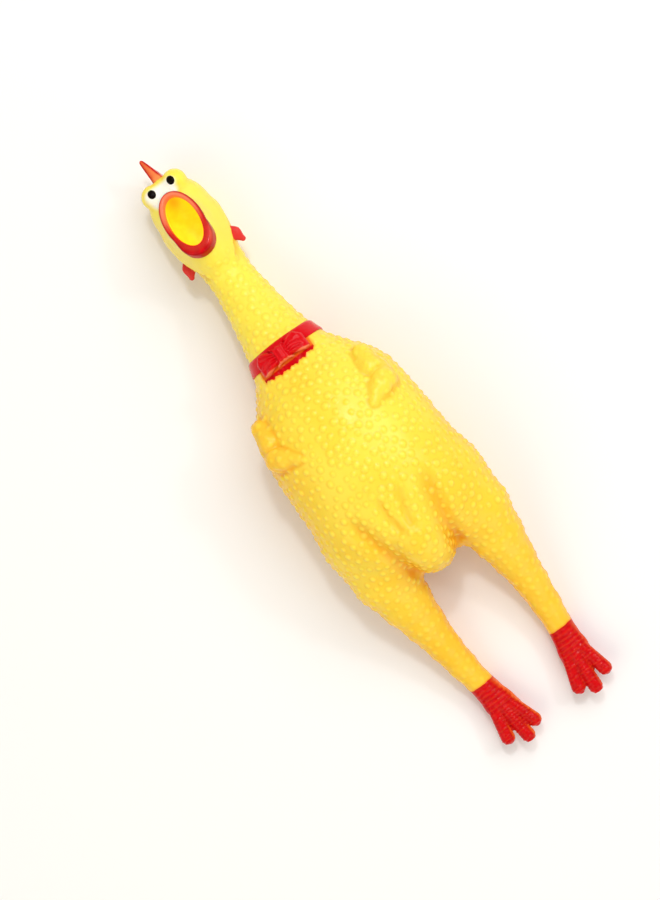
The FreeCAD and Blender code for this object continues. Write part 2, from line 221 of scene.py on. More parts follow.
def table(y, column):
    """A smooth curve through one column of TRUNK, with no overshoot."""
    ys, vs = TRUNK[:, 0], TRUNK[:, column]
    step = np.diff(ys)
    slope = np.diff(vs) / step
    tangent = np.zeros(len(ys))
    same = slope[:-1] * slope[1:] > 0
    harmonic = 2 * slope[:-1] * slope[1:] / np.where(same, slope[:-1] + slope[1:], 1)
    tangent[1:-1] = np.where(same, harmonic, 0)
    y = np.clip(y, ys[0], ys[-1])
    i = np.clip(np.searchsorted(ys, y, side="right") - 1, 0, len(ys) - 2)
    t = (y - ys[i]) / step[i]
    h = step[i]
    return (
        vs[i] * (1 + 2 * t) * (1 - t) ** 2
        + tangent[i] * h * t * (1 - t) ** 2
        + vs[i + 1] * t * t * (3 - 2 * t)
        + tangent[i + 1] * h * t * t * (t - 1)
    )


def ellipsoid(p, centre, half):
    """An ellipsoid, or an oval where half has only two sizes."""
    q = [place - middle for place, middle in zip(p, centre)]
    k0 = np.sqrt(sum((a / b) ** 2 for a, b in zip(q, half)))
    k1 = np.sqrt(sum((a / b ** 2) ** 2 for a, b in zip(q, half)))
    return k0 * (k0 - 1) / np.maximum(k1, 1e-6)


def oval_distance(u, v, half_u, half_v):
    return ellipsoid((u, v), (0, 0), (half_u, half_v))


def cone(p, a, b, radius_a, radius_b):
    """A bar from a to b with round ends, whose radius changes evenly."""
    run = np.array(b) - np.array(a)
    t = sum((p[i] - a[i]) * run[i] for i in range(3)) / (run @ run)
    t = np.clip(t, 0, 1)
    gap = np.sqrt(sum((p[i] - a[i] - t * run[i]) ** 2 for i in range(3)))
    return gap - (radius_a + (radius_b - radius_a) * t)


def merge(parts, k):
    """One surface from several."""
    d = parts[0]
    for part in parts[1:]:
        d = smooth_min(d, part, k)
    return d


def chain(p, joints, k):
    """A limb of bars through rows of x, y, z and radius."""
    return merge([cone(p, a[:3], b[:3], a[3], b[3]) for a, b in zip(joints[:-1], joints[1:])], k)


def trunk(p, inset=0.0):
    """Body, neck and head: oval sections along Y with round ends."""
    x, y, z = p
    half_x = table(y, 1) - inset
    back, front = table(y, 2) + inset, table(y, 3) - inset
    half_z, middle = (front - back) / 2, (front + back) / 2
    low_end, high_end = TRUNK[0, 0], TRUNK[-1, 0]
    along = np.where(y < low_end, (y - low_end) / (RUMP_LENGTH - inset), 0)
    along = np.where(y > high_end, (y - high_end) / (CROWN_LENGTH - inset), along)
    length = np.where(y < low_end, RUMP_LENGTH - inset, CROWN_LENGTH - inset)
    k0 = np.sqrt((x / half_x) ** 2 + ((z - middle) / half_z) ** 2 + along ** 2)
    k1 = np.sqrt((x / half_x ** 2) ** 2 + ((z - middle) / half_z ** 2) ** 2 + (along / length) ** 2)
    return k0 * (k0 - 1) / np.maximum(k1, 1e-6)


def along_neck(p):
    """How far a place is from the neck's root towards the head."""
    return sum((p[i] - NECK_BASE[i]) * NECK_AXIS[i] for i in range(3))


def mouth_axes(p):
    """Positions in the mouth's own frame: across, towards the crown, and out of the mouth."""
    dy, dz = p[1] - MOUTH_CENTRE[1], p[2] - MOUTH_CENTRE[2]
    along = dy * math.cos(MOUTH_LEAN) - dz * math.sin(MOUTH_LEAN)
    out = dy * math.sin(MOUTH_LEAN) + dz * math.cos(MOUTH_LEAN)
    return p[0], along, out


def wing(q):
    """The left wing, folded on the chest: an upper lobe, a lower one, a broad outer part and a small tip."""
    d = None
    for start, end, start_radius, end_radius, blend in WING_LOBES:
        lobe = cone(q, start, end, start_radius, end_radius)
        d = lobe if d is None else smooth_min(d, lobe, blend)
    return d


def foot_ribs(q):
    """Ribs across the tops of the palm and the toes: 1 on a ridge, below 0 between ridges."""
    beyond = q[1] - TOES_Y
    turns = beyond / np.where(beyond > 0, RIB_GAPS[0], RIB_GAPS[1])
    ribs = np.maximum(np.cos(2 * math.pi * turns), RIB_GROOVE)
    return ribs * ease(q[2], *RIBS_Z) * ease(q[1], *RIBS_Y)


def foot(q):
    """The left foot: a flattened palm and three splayed toes, with ribs across their tops."""
    flat = 1 + PALM_SQUASH * ease(q[1], *PALM_SQUASH_Y)
    squashed = (q[0], q[1], PALM_Z + (q[2] - PALM_Z) * flat)
    d = merge([chain(squashed, PALM, PALM_BLEND)] + [cone(q, *toe) for toe in TOES], TOE_BLEND)
    return d - np.where(q[1] > TOES_Y, RIB_HEIGHTS[0], RIB_HEIGHTS[1]) * foot_ribs(q)


def body_field(p):
    """The moulding with its limbs, wings and eyes, but no beak. It is the same on both sides."""
    q = (np.abs(p[0]), p[1], p[2])
    d = trunk(q)
    d = smooth_min(d, chain(q, LEG, LIMB_BLEND), LEG_BLEND)
    d = smooth_min(d, ellipsoid(q, VENT_CENTRE, VENT_HALF), VENT_BLEND)
    d = smooth_min(d, foot(q), FOOT_BLEND)
    d = smooth_min(d, wing(q), WING_BLEND)
    d = smooth_min(d, ellipsoid(q, BROW_CENTRE, BROW_HALF), BROW_BLEND)
    d = smooth_min(d, ellipsoid(q, EYE_CENTRE, EYE_HALF), EYE_BLEND)
    return d


def line_distance(x, y, points):
    """Distance in plan to a row of straight lines, and how far along the row its nearest place is, 0 to 1."""
    best, place = np.inf, 0.0
    for index, (a, b) in enumerate(zip(points[:-1], points[1:])):
        run = (b[0] - a[0], b[1] - a[1])
        t = ((x - a[0]) * run[0] + (y - a[1]) * run[1]) / (run[0] ** 2 + run[1] ** 2)
        t = np.clip(t, 0, 1)
        gap = np.hypot(x - a[0] - t * run[0], y - a[1] - t * run[1])
        place = np.where(gap < best, (index + t) / (len(points) - 1), place)
        best = np.minimum(best, gap)
    return best, place


def valley(x, y, points, size):
    """A soft valley along a line in plan. It fades in from its start, and is shallower at its end."""
    width, depth = size
    gap, place = line_distance(x, y, points)
    ends = ease(place, 0.0, 0.3) * (1 - 0.6 * ease(place, 0.8, 1.0))
    return depth * ends * bell(gap, 0, width)


def vent_depth(p):
    """How deep the valleys beside the vent and the creases above it are."""
    depth = valley(np.abs(p[0]), p[1], VENT_EDGE, VENT_EDGE_SIZE)
    for points in CREASES:
        depth = depth + valley(p[0], p[1], points, CREASE_SIZE)
    return depth * ease(p[2], *VALLEYS_Z)


def field(p):
    """The whole moulding: distance is negative inside the vinyl or the body, positive outside."""
    d = body_field(p) + vent_depth(p)
    u, v, w = mouth_axes(p)
    flare = 1.0 + np.clip(-w, 0, BEAK_LENGTH) * BEAK_FLARE
    shell = oval_distance(u, v, (MOUTH_HALF[0] + SKIN) * flare, (MOUTH_HALF[1] + SKIN) * flare)
    funnel = np.maximum(np.maximum(shell, w - BEAK_RISE), -w - BEAK_LENGTH)
    d = smooth_min(d, funnel, BEAK_BLEND)
    hollow = np.maximum(trunk(p, SKIN), THROAT_Y - p[1])
    passage = np.maximum(oval_distance(u, v, *MOUTH_HALF), np.maximum(-w - PASSAGE_IN, w - PASSAGE_OUT))
    d = smooth_max(d, -smooth_min(hollow, passage, THROAT_BLEND), RIM_ROUNDING)
    return smooth_max(d, -p[2], BACK_ROUNDING)


# ---- meshing
def mesh_field(function, low, high, voxel):
    """Quads on the surface where function is zero, inside the box from low to high."""
    counts = [int(math.ceil((high[i] - low[i]) / voxel)) + 1 for i in range(3)]
    axes = [low[i] + voxel * np.arange(counts[i]) for i in range(3)]
    values = function(np.meshgrid(*axes, indexing="ij"))
    volume = openvdb.FloatGrid(3.0 * voxel)
    volume.copyFromArray(np.clip(values, -3 * voxel, 3 * voxel).astype(np.float32))
    points, quads = volume.convertToQuads(0.0)
    return np.array(low) + voxel * points.astype(float), quads.astype(np.int64)


def gradient(function, points, step=0.05):
    found = np.zeros_like(points)
    for axis, offset in enumerate(step * np.eye(3)):
        above, below = points + offset, points - offset
        found[:, axis] = (function(list(above.T)) - function(list(below.T))) / (2 * step)
    return found


def settle(function, points, rounds=2):
    """Moves points onto the surface."""
    for _ in range(rounds):
        slope = gradient(function, points)
        size = np.maximum((slope ** 2).sum(1), 0.04)
        move = function(list(points.T))[:, None] * slope / size[:, None]
        length = np.linalg.norm(move, axis=1, keepdims=True)
        points = points - move * np.minimum(1, 0.8 / np.maximum(length, 1e-9))
    return points


def split_quads(points, quads):
    """Each quad becomes four."""
    count = len(points)
    edges = np.stack([quads, np.roll(quads, -1, 1)], 2)
    keys = np.sort(edges.reshape(-1, 2), 1)
    unique, inverse = np.unique(keys, axis=0, return_inverse=True)
    inverse = inverse.reshape(len(quads), 4)
    middles = points[unique].mean(1)
    centres = points[quads].mean(1)
    all_points = np.concatenate([points, middles, centres])
    edge = count + inverse
    centre = count + len(unique) + np.arange(len(quads))
    parts = [np.stack([quads[:, i], edge[:, i], centre, edge[:, i - 1]], 1) for i in range(4)]
    return all_points, np.concatenate(parts)


def relax(points, quads, rounds, amount=0.5):
    """Evens out the spacing of the points."""
    for _ in range(rounds):
        total = np.zeros_like(points)
        count = np.zeros(len(points))
        for i in range(4):
            for j in (i - 1, (i + 1) % 4):
                np.add.at(total, quads[:, i], points[quads[:, j]])
                np.add.at(count, quads[:, i], 1)
        average = total / np.maximum(count, 1)[:, None]
        points = points + amount * (average - points)
    return points


def vertex_normals(points, quads):
    a, b, c, d = (points[quads[:, i]] for i in range(4))
    face = np.cross(c - a, d - b)
    normals = np.zeros_like(points)
    for i in range(4):
        np.add.at(normals, quads[:, i], face)
    return normals / np.maximum(np.linalg.norm(normals, axis=1, keepdims=True), 1e-12)


# ---- the collar's and the bow's places
COLLAR_MIDDLE, COLLAR_HALF = -11.8, 3.3  # along the neck
COLLAR_RISE, COLLAR_SUNK = 1.0, 0.8  # how far it stands out of the skin, and how far it goes in
FRINGE_LOW_Y = 42.3  # where the red paint under the bow ends


def collar_lift(z):
    """How much further up the neck the collar lies at the sides than in front."""
    return 3.0 * ease(z, 46.0, 24.0)


# ---- goose bumps
BUMP_GAP, BUMP_RADIUS, BUMP_HEIGHT = 3.75, 1.58, 0.60
BUMP_SCALE = (0.8, 1.12)  # the smallest and the largest bump, against these sizes
LEAST_WEIGHT = 0.05  # no bump stands where the weight is lower
# Where the bumps get lower along Y: where that starts, where it ends, and how much is lost.
BUMP_FADES = [
    (97.0, 106.0, 0.80),
    (128.0, 133.0, 1.0),
    (-60.0, -80.0, 0.40),
    (-92.0, -115.0, 0.30),
    (58.0, 72.0, 0.25),
    (-122.8, -124.2, 1.0),
]
FACE_Y, FACE_Z = (101.0, 106.0), (22.0, 28.0)  # where the smooth face starts
COLLAR_CLEAR = ((-16.6, -15.8), (-8.0, -7.2))  # along the neck: where the bumps end and start again


def bump_centres(points, weights, seed=7):
    """Points scattered over the skin, none nearer to another than BUMP_GAP."""
    random = np.random.default_rng(seed)
    order = random.permutation(np.nonzero(weights > LEAST_WEIGHT)[0])
    cells, chosen = {}, []
    keys = np.floor(points / BUMP_GAP).astype(int)
    steps = [(i, j, k) for i in (-1, 0, 1) for j in (-1, 0, 1) for k in (-1, 0, 1)]
    for index in order:
        key, here = keys[index], points[index]
        near = [cells.get((key[0] + i, key[1] + j, key[2] + k), ()) for i, j, k in steps]
        gaps = (((points[other] - here) ** 2).sum() for cell in near for other in cell)
        if all(gap >= BUMP_GAP ** 2 for gap in gaps):
            cells.setdefault(tuple(key), []).append(index)
            chosen.append(index)
    return points[chosen], weights[chosen]


def bump_weights(points):
    """How tall the bumps are: full on the body, lower on the legs and wings, none on the face and feet."""
    x, y, z = points.T
    along = along_neck(points.T)
    w = np.ones(len(points))
    for start, end, lost in BUMP_FADES:
        w *= 1 - lost * ease(y, start, end)
    w *= 1 - ease(z, *FACE_Z) * ease(y, *FACE_Y)
    band = along - collar_lift(z)
    w *= 1 - ease(band, *COLLAR_CLEAR[0]) * (1 - ease(band, *COLLAR_CLEAR[1]))
    under_bow = (along > -19.4) & (along < -8.0) & (z > 30) & (np.abs(x) < 14)
    w[under_bow] = 0
    w *= 1 - 0.45 * ease(wing((np.abs(x), y, z)), 0.8, 0.0)
    for line in CREASES:
        w *= ease(line_distance(x, y, line)[0], 1.0, 2.4)
    return w * np.where(mouth_inside(points), 0, 1) * ease(z, 0.3, 2.0)


def mouth_inside(points):
    """True for what lies in the beak or in the throat."""
    u, v, w = mouth_axes(points.T)
    in_beak = (oval_distance(u, v, *MOUTH_HALF) < 0.7) & (w < 1.2) & (w > -20)
    return (in_beak | (trunk(points.T) < -0.6 * SKIN)) & (points[:, 1] > 88)


def add_bumps(points, normals, shade):
    """Raises a dome at each centre, lower in folds.

    Returns the points, how far up a dome each is, and how near to a dome's foot.
    """
    weights = bump_weights(points) * (1 - 0.85 * ease(shade, 0.25, 0.7))
    centres, sizes = bump_centres(points, weights)
    tree = kdtree.KDTree(len(centres))
    for index, centre in enumerate(centres):
        tree.insert(centre, index)
    tree.balance()
    scale = np.random.default_rng(11).uniform(*BUMP_SCALE, len(centres))
    found = np.array([tree.find(point)[1:] for point in points])
    nearest, gap = found[:, 0].astype(int), found[:, 1]
    share = gap / (BUMP_RADIUS * scale[nearest])
    height = sizes[nearest] * scale[nearest]
    rise = np.clip(1 - share ** 2, 0, 1) * height
    bump_foot_shade = bell(share, 1.05, 0.22) * height
    return points + normals * (rise * BUMP_HEIGHT)[:, None], rise, bump_foot_shade


# ---- materials
# DEEP_YELLOW and LEMON also colour the skin's painted shade and painted light.
YELLOW, DEEP_YELLOW, LEMON = (0.98, 0.69, 0.045), (0.93, 0.42, 0.010), (1.0, 0.86, 0.10)
RED, DEEP_RED = (0.66, 0.002, 0.006), (0.32, 0.0, 0.002)
BRIGHT_RED, CRIMSON = (0.70, 0.002, 0.007), (0.70, 0.010, 0.030)
ORANGE, PINK = (0.93, 0.19, 0.015), (0.92, 0.25, 0.12)
# LIGHT_ORANGE is the comb's painted highlight, and its thin paint at the root.
LIGHT_ORANGE = (0.95, 0.29, 0.085)
WHITE, BLACK = (0.97, 0.96, 0.86), (0.002, 0.001, 0.001)
SOFT_BLACK, BROWN_BLACK = (0.006, 0.003, 0.002), (0.02, 0.01, 0.01)
CREAM, DARK_CREAM = (0.80, 0.79, 0.72), (0.66, 0.65, 0.58)
FILM_BLUE, FILM_GREY = (0.62, 0.68, 0.74), (0.5, 0.56, 0.62)
PAINTED_GLOW, PAINTED_GLOW_STRENGTH = (1.0, 0.68, 0.012), 0.40  # a painted glow: emission that stands in for the light coming through the wall of the beak
FLOOR_WHITE, FLOOR_GREY = (0.93, 0.93, 0.93), (0.90, 0.90, 0.90)
PATCH_SCALE, MOTTLE_SCALE, PAINT_SCALE, GLOW_SCALE = 0.035, 0.45, 0.4, 0.25  # noise, per millimetre
PLASTIC_SCALE, FLOOR_SCALE = 300.0, 3.0  # noise, per metre
PAINT_EDGE = (0.05, 0.20)  # how far beyond its edge the red paint is full, and gone
PAINT_HALO = (0.2, 1.3)  # where the orange halo round it is full, and gone
WHITE_EDGE = (-1.3, 1.3)  # the same for the white round the eyes


def new_look(name):
    """A new material with a Principled BSDF."""
    look = bpy.data.materials.new(name)
    look.use_nodes = True
    return look


def set_inputs(look, node, values):
    """Joins each input of a node to a socket, or gives it a plain value."""
    for key, value in values.items():
        socket = node.inputs[key]
        if isinstance(value, bpy.types.NodeSocket):
            look.node_tree.links.new(value, socket)
        else:
            socket.default_value = (*value, 1) if socket.type == "RGBA" else value


def add_node(look, kind, values, **settings):
    node = look.node_tree.nodes.new(kind)
    for key, value in settings.items():
        setattr(node, key, value)
    set_inputs(look, node, values)
    return node


def finish_look(look, values):
    """Sets the inputs of the material's shader."""
    set_inputs(look, look.node_tree.nodes["Principled BSDF"], values)
    return look


def mix(look, factor, first, second):
    """first where factor is 0, second where it is 1. Each colour is a socket or a value."""
    values = {0: factor, 6: first, 7: second}
    return add_node(look, "ShaderNodeMix", values, data_type="RGBA").outputs[2]


def ramp(look, value, low, high, out_low=0.0, out_high=1.0):
    """From out_low to out_high as value goes from low to high."""
    values = {"Value": value, "From Min": low, "From Max": high, "To Min": out_low, "To Max": out_high}
    return add_node(look, "ShaderNodeMapRange", values, interpolation_type="SMOOTHSTEP").outputs["Result"]


def attribute(look, name, output="Fac"):
    return add_node(look, "ShaderNodeAttribute", {}, attribute_name=name).outputs[output]


def noise(look, place, scale, detail=3.0):
    values = {"Vector": place, "Scale": scale, "Detail": detail}
    return add_node(look, "ShaderNodeTexNoise", values).outputs["Fac"]


def grain(look, place, scale, strength, distance):
    """A fine unevenness of the surface, which only the shading shows."""
    values = {"Height": noise(look, place, scale, 2.0), "Strength": strength, "Distance": distance}
    return add_node(look, "ShaderNodeBump", values).outputs["Normal"]


def vinyl():
    """Soft yellow vinyl with its painted regions and its painted light and shade, which the attributes of the
    mesh place.
    """
    look = new_look("chicken_vinyl")
    place = attribute(look, "rest_mm", "Vector")
    patch = ramp(look, noise(look, place, PATCH_SCALE), 0.35, 0.65)
    fine = noise(look, place, MOTTLE_SCALE)
    colour = mix(look, ramp(look, patch, 0.0, 1.0, 0.0, 0.35), YELLOW, LEMON)
    # Tints from the mesh: lemon, partly painted light; deep, painted shade; bump, a painted highlight on the
    # goose bumps; ring, painted shade round their feet.
    for name, tint in (("lemon", LEMON), ("deep", DEEP_YELLOW), ("bump", LEMON), ("ring", DEEP_YELLOW)):
        colour = mix(look, attribute(look, name), colour, tint)
    white = ramp(look, attribute(look, "white_mm"), *WHITE_EDGE, 0.95, 0.0)
    colour = mix(look, white, colour, WHITE)
    values = {0: fine, 1: 0.25, 2: attribute(look, "red_mm")}
    red_edge = add_node(look, "ShaderNodeMath", values, operation="MULTIPLY_ADD").outputs[0]
    red = ramp(look, red_edge, *PAINT_EDGE, 1.0, 0.0)
    colour = mix(look, ramp(look, red_edge, *PAINT_HALO, 0.5, 0.0), colour, ORANGE)
    paint = mix(look, ramp(look, fine, 0.3, 0.7, 0.0, 0.35), RED, DEEP_RED)
    # Orange where the red paint is thin, and a painted highlight on the feet's ribs.
    paint = mix(look, attribute(look, "thin"), paint, ORANGE)
    return finish_look(look, {
        "Base Color": mix(look, red, colour, paint),
        "Roughness": ramp(look, red, 0.0, 1.0, 0.27, 0.15),
        "Specular IOR Level": ramp(look, red, 0.0, 1.0, 0.26, 0.11),
        "Subsurface Weight": 0.22,
        "Subsurface Radius": (1.0, 0.45, 0.08),
        "Subsurface Scale": 0.004,
        "Normal": grain(look, place, 1.6, 0.12, 0.0004),
    })


def painted_glow_vinyl():
    """The inside of the beak: a painted glow, an emission that stands in for light coming through its thin
    wall; its crown end is flushed with orange.
    """
    look = new_look("beak_inside_painted_glow")
    fine = noise(look, attribute(look, "rest_mm", "Vector"), GLOW_SCALE)
    colour = mix(look, ramp(look, fine, 0.35, 0.65, 0.0, 0.3), YELLOW, DEEP_YELLOW)
    return finish_look(look, {
        "Base Color": mix(look, attribute(look, "flush"), colour, ORANGE),
        "Roughness": ramp(look, fine, 0.3, 0.7, 0.35, 0.5),
        "Emission Color": PAINTED_GLOW,
        "Emission Strength": PAINTED_GLOW_STRENGTH,
    })


def gloss_paint(name, dark, main, light, gloss=0.11):
    """Glossy paint on vinyl: light where the mesh's attribute thin is 1, which on the comb is mostly a
    painted highlight, and dark where edge is, which on the bow is painted shade between the pleats.
    """
    look = new_look(name)
    place = attribute(look, "rest_mm", "Vector")
    fine = noise(look, place, PAINT_SCALE)
    colour = mix(look, ramp(look, fine, 0.3, 0.7, 0.0, 0.5), main, dark)
    colour = mix(look, attribute(look, "thin"), colour, light)
    return finish_look(look, {
        "Base Color": mix(look, attribute(look, "edge"), colour, dark),
        "Roughness": ramp(look, fine, 0.3, 0.7, 0.11, 0.17),
        "Specular IOR Level": gloss,
        "Subsurface Weight": 0.08,
        "Subsurface Radius": (1.0, 0.2, 0.1),
        "Subsurface Scale": 0.002,
        "Normal": grain(look, place, 1.2, 0.15, 0.0003),
    })


def plastic(name, main, dark, roughness):
    """Moulded plastic of the squeaker, in object coordinates."""
    look = new_look(name)
    cloud = noise(look, add_node(look, "ShaderNodeTexCoord", {}).outputs["Object"], PLASTIC_SCALE)
    share = ramp(look, cloud, 0.3, 0.7)
    return finish_look(look, {
        "Base Color": mix(look, share, main, dark),
        "Roughness": ramp(look, cloud, 0.3, 0.7, *roughness),
    })


def floor_look():
    look = new_look("floor_white")
    cloud = noise(look, add_node(look, "ShaderNodeTexCoord", {}).outputs["Object"], FLOOR_SCALE)
    return finish_look(look, {
        "Base Color": mix(look, cloud, FLOOR_WHITE, FLOOR_GREY),
        "Roughness": 0.8,
    })


# ---- objects
def add_object(name, data):
    obj = bpy.data.objects.new(name, data)
    bpy.context.scene.collection.objects.link(obj)
    return obj


def make_object(name, points, faces, normals, material, numbers):
    """A mesh in metres from points in millimetres, with the numbers as attributes of its points."""
    used, compact = np.unique(faces, return_inverse=True)
    faces = compact.reshape(faces.shape)
    points, normals = points[used], normals[used]
    mesh = bpy.data.meshes.new(name)
    mesh.vertices.add(len(points))
    mesh.vertices.foreach_set("co", (points * MM).astype(np.float32).ravel())
    mesh.loops.add(faces.size)
    mesh.loops.foreach_set("vertex_index", faces.astype(np.int32).ravel())
    mesh.polygons.add(len(faces))
    mesh.polygons.foreach_set("loop_start", np.arange(0, faces.size, faces.shape[1], dtype=np.int32))
    mesh.polygons.foreach_set("loop_total", np.full(len(faces), faces.shape[1], np.int32))
    mesh.update(calc_edges=True)
    mesh.polygons.foreach_set("use_smooth", np.ones(len(faces), bool))
    rest = mesh.attributes.new("rest_mm", "FLOAT_VECTOR", "POINT")
    rest.data.foreach_set("vector", points.astype(np.float32).ravel())
    for key, values in numbers.items():
        layer = mesh.attributes.new(key, "FLOAT", "POINT")
        layer.data.foreach_set("value", values[used].astype(np.float32))
    mesh.normals_split_custom_set_from_vertices(normals)
    mesh.materials.append(material)
    return add_object(name, mesh)


def field_mesh(function, low, high, voxel):
    """A finished surface of function: points, quads and normals."""
    points, quads = mesh_field(function, low, high, voxel)
    points = settle(function, relax(points, quads, 2))
    points, quads = split_quads(points, quads)
    points = settle(function, relax(points, quads, 2))
    return points, quads, vertex_normals(points, quads)


def ring_quads(rows, columns, closed=False):
    """Quads between rows of points, each row a ring. If closed, the last row also joins the first."""
    row = np.arange(rows if closed else rows - 1)[:, None]
    column = np.arange(columns)[None]
    here, there = row * columns, (row + 1) % rows * columns
    beside = (column + 1) % columns
    return np.stack([here + column, there + column, there + beside, here + beside], 2).reshape(-1, 4)


# ---- painted regions, as distances in millimetres
FRINGE_HALF, FRINGE_TOP_Y = 13.6, 52.0  # the red paint under the bow
WHITE_BAND = (-6.2, 142.0), (10.8, 0.6), (3.2, 0.8)  # start, run, half width and its loss
NO_PAINT = 20.0  # a distance at which there is none


def beak_flush(points):
    """Orange deep in the throat, towards the crown."""
    x, y, z = points.T
    across, along = x + 2.8 - 0.107 * z, y - 138.6 + 0.152 * z
    return 0.9 * np.exp(-(across ** 2 + 0.6 * along ** 2) / 9.0)


def red_distance(points):
    """Distance to the red paint on the skin: the feet, and the fringe under the bow."""
    x, y, z = points.T
    feet = y - PAINT_Y - 0.15 * np.sin(x * 1.1) * np.sin(z * 0.9)
    ragged = 0.35 * np.sin(x * 1.45) + 0.25 * np.sin(x * 2.9 + 1.0)
    low = FRINGE_LOW_Y + ragged + 0.008 * x * x
    fringe = np.maximum(np.abs(x + 0.3) - FRINGE_HALF, np.maximum(y - FRINGE_TOP_Y, low - y))
    return np.minimum(feet, np.where(z > 30, fringe, NO_PAINT))


def white_distance(points):
    """Distance to the white round the eyes and above the beak."""
    x, y, z = points.T
    start, run, half = WHITE_BAND
    t = np.clip((x - start[0]) / run[0], 0, 1)
    band = np.hypot(x - start[0] - run[0] * t, y - start[1] - run[1] * t) - half[0] + half[1] * t
    bridge = oval_distance(x + 1.4, y - 138.6, 7.0, 4.0)
    return np.where(z > 18.0, smooth_min(band, bridge, 2.0), NO_PAINT)


def thin_paint_and_rib_highlight(points, normals):
    """Where the red turns orange: thin paint in a strip under the bow, more orange along the feet's edges
    that face +X, most on the right foot, and a painted highlight on the tops of the feet's ribs.
    """
    x, y, z = points.T
    strip = ease(y, FRINGE_LOW_Y + 2.3, FRINGE_LOW_Y + 2.7) * (y < 60) * (y > 0)
    outer = ease(normals[:, 0], 0.6, 0.98) * ease(y, -124, -128) * np.where(x < 0, 0.75, 0.3)
    # A painted highlight on the tops of the feet's ribs.
    ridges = np.clip(foot_ribs((np.abs(x), y, z)), 0, 1)
    return np.clip(0.9 * strip + outer + 0.1 * ridges, 0, 1)


def depth_shade(points, normals, function, reach=3.0):
    """How far each point sits in a fold, from 0 to 1."""
    probe = points + normals * reach
    return np.clip((reach * 0.93 - function(list(probe.T))) / reach * 1.6, 0, 1)


def painted_shade_and_leg_tone(points, normals, shade):
    """How far the vinyl turns to orange yellow: painted shade in folds, in the valleys by the vent, on the
    flanks, round the wings and on the right side, which faces away from the light; and deeper down the legs
    towards the feet.
    """
    x, y, z = points.T
    # Painted shade on skin that faces sideways or down, less on the neck.
    shaded_flank = 0.62 * ease(normals[:, 2], 0.72, -0.2) * (1 - 0.5 * ease(y, 40, 75))
    # Deeper towards the feet.
    legs = 0.17 * ease(y, 10, -50) + 0.34 * ease(y, -45, -110)
    # Painted shade in the valleys and creases by the vent.
    valleys = 0.55 * np.clip(vent_depth(points.T) / 3.0, 0, 1)
    # Painted shade in the crease round the wings.
    wing_edge_shade = 0.45 * bell(wing((np.abs(x), y, z)), 0.7, 0.7) * ease(z, 38, 46)
    # Painted shade on the right side of the chest, away from the light.
    shaded_right_side = 0.34 * ease(x, -12, -30) * ease(y, -30, 10) * (1 - ease(y, 45, 60))
    # Painted shade in folds, from depth_shade, added to the rest.
    return np.clip(0.85 * shade + shaded_flank + legs + valleys + wing_edge_shade + shaded_right_side, 0, 1)


def lemon_and_painted_light(points):
    """How far the vinyl turns to lemon: lighter on the neck and head, and painted light on the raised wings
    and on the left of the chest, as if lit.
    """
    x, y, z = points.T
    neck = 0.6 * ease(y, 40, 75)
    # Painted light on the wings.
    lit_wings = 0.25 * ease(wing((np.abs(x), y, z)), 0.6, -0.2)
    # Painted light on the left of the chest, towards the light.
    lit_left_chest = 0.34 * ease(x, -12, 22) * ease(y, -45, 5)
    return np.maximum(neck, np.maximum(lit_wings, lit_left_chest))


# ---- the skin and its pieces
CAP_Z = 47.0  # what lies above this on the body is the belly's piece
BELLY_Y = -70.0  # the lower end of the belly's piece
# Where the pieces end, along the neck from its root, and along Y on the legs.
NECK_STARTS, HEAD_STARTS = -9.0, NECK_LENGTH + 8.5
LEG_PIECES = (("hip", -72.4), ("knee", -89.5), ("ankle", -110.5), ("foot", -126.0))
# Each bend: its joint, and half the length that it bends over.
LEG_BENDS = (("hip", "hip_splay", 5.6), ("knee", "knee_flex", 5.6), ("ankle", "ankle_flex", 4.4))
NECK_BENDS = (("neck_lower", "neck_sway", 7.3), ("neck_upper", "head_nod", 7.0))


def make_skin():
    """The skin's points, quads and normals, with the numbers that its material reads."""
    points, quads, normals = field_mesh(field, GRID_LOW, GRID_HIGH, VOXEL)
    shade = depth_shade(points, normals, field)
    deep = painted_shade_and_leg_tone(points, normals, shade)
    bumpy, rise, bump_foot_shade = add_bumps(points, normals, shade)
    normals = vertex_normals(bumpy, quads)
    numbers = {
        "red_mm": red_distance(points),
        "white_mm": white_distance(points),
        "thin": thin_paint_and_rib_highlight(points, normals),
        # Painted shade, less on the tops of the goose bumps.
        "deep": deep * (1 - 0.35 * rise),
        "lemon": lemon_and_painted_light(points),
        # A painted highlight on the tops of the goose bumps, and painted shade round their feet.
        "bump": rise * 0.30,
        "ring": bump_foot_shade * 0.24,
        "flush": beak_flush(points),
    }
    return bumpy, quads, normals, numbers


def skin_regions(points, quads):
    """The name of the piece that each face belongs to."""
    centre = points[quads].mean(1)
    x, y, z = centre.T
    along = along_neck(centre.T)
    names = np.full(len(quads), "torso", dtype=object)
    names[along > NECK_STARTS] = "neck_lower"
    names[along > NECK_LENGTH / 2] = "neck_upper"
    names[along > HEAD_STARTS] = "head"
    names[(z > CAP_Z) & (names == "torso") & (y > BELLY_Y)] = "belly"
    for side, sign in SIDES:
        for piece, start_y in LEG_PIECES:
            names[(x * sign > 0) & (y < start_y)] = side + "_" + piece
    names[mouth_inside(centre)] = "inside"
    return names


def flatten_edge(points, quads, names):
    """Brings the edge between belly and torso into one plane."""
    edge = np.intersect1d(quads[names == "belly"], quads[names != "belly"])
    points = points.copy()
    points[edge, 2] = CAP_Z
    return points


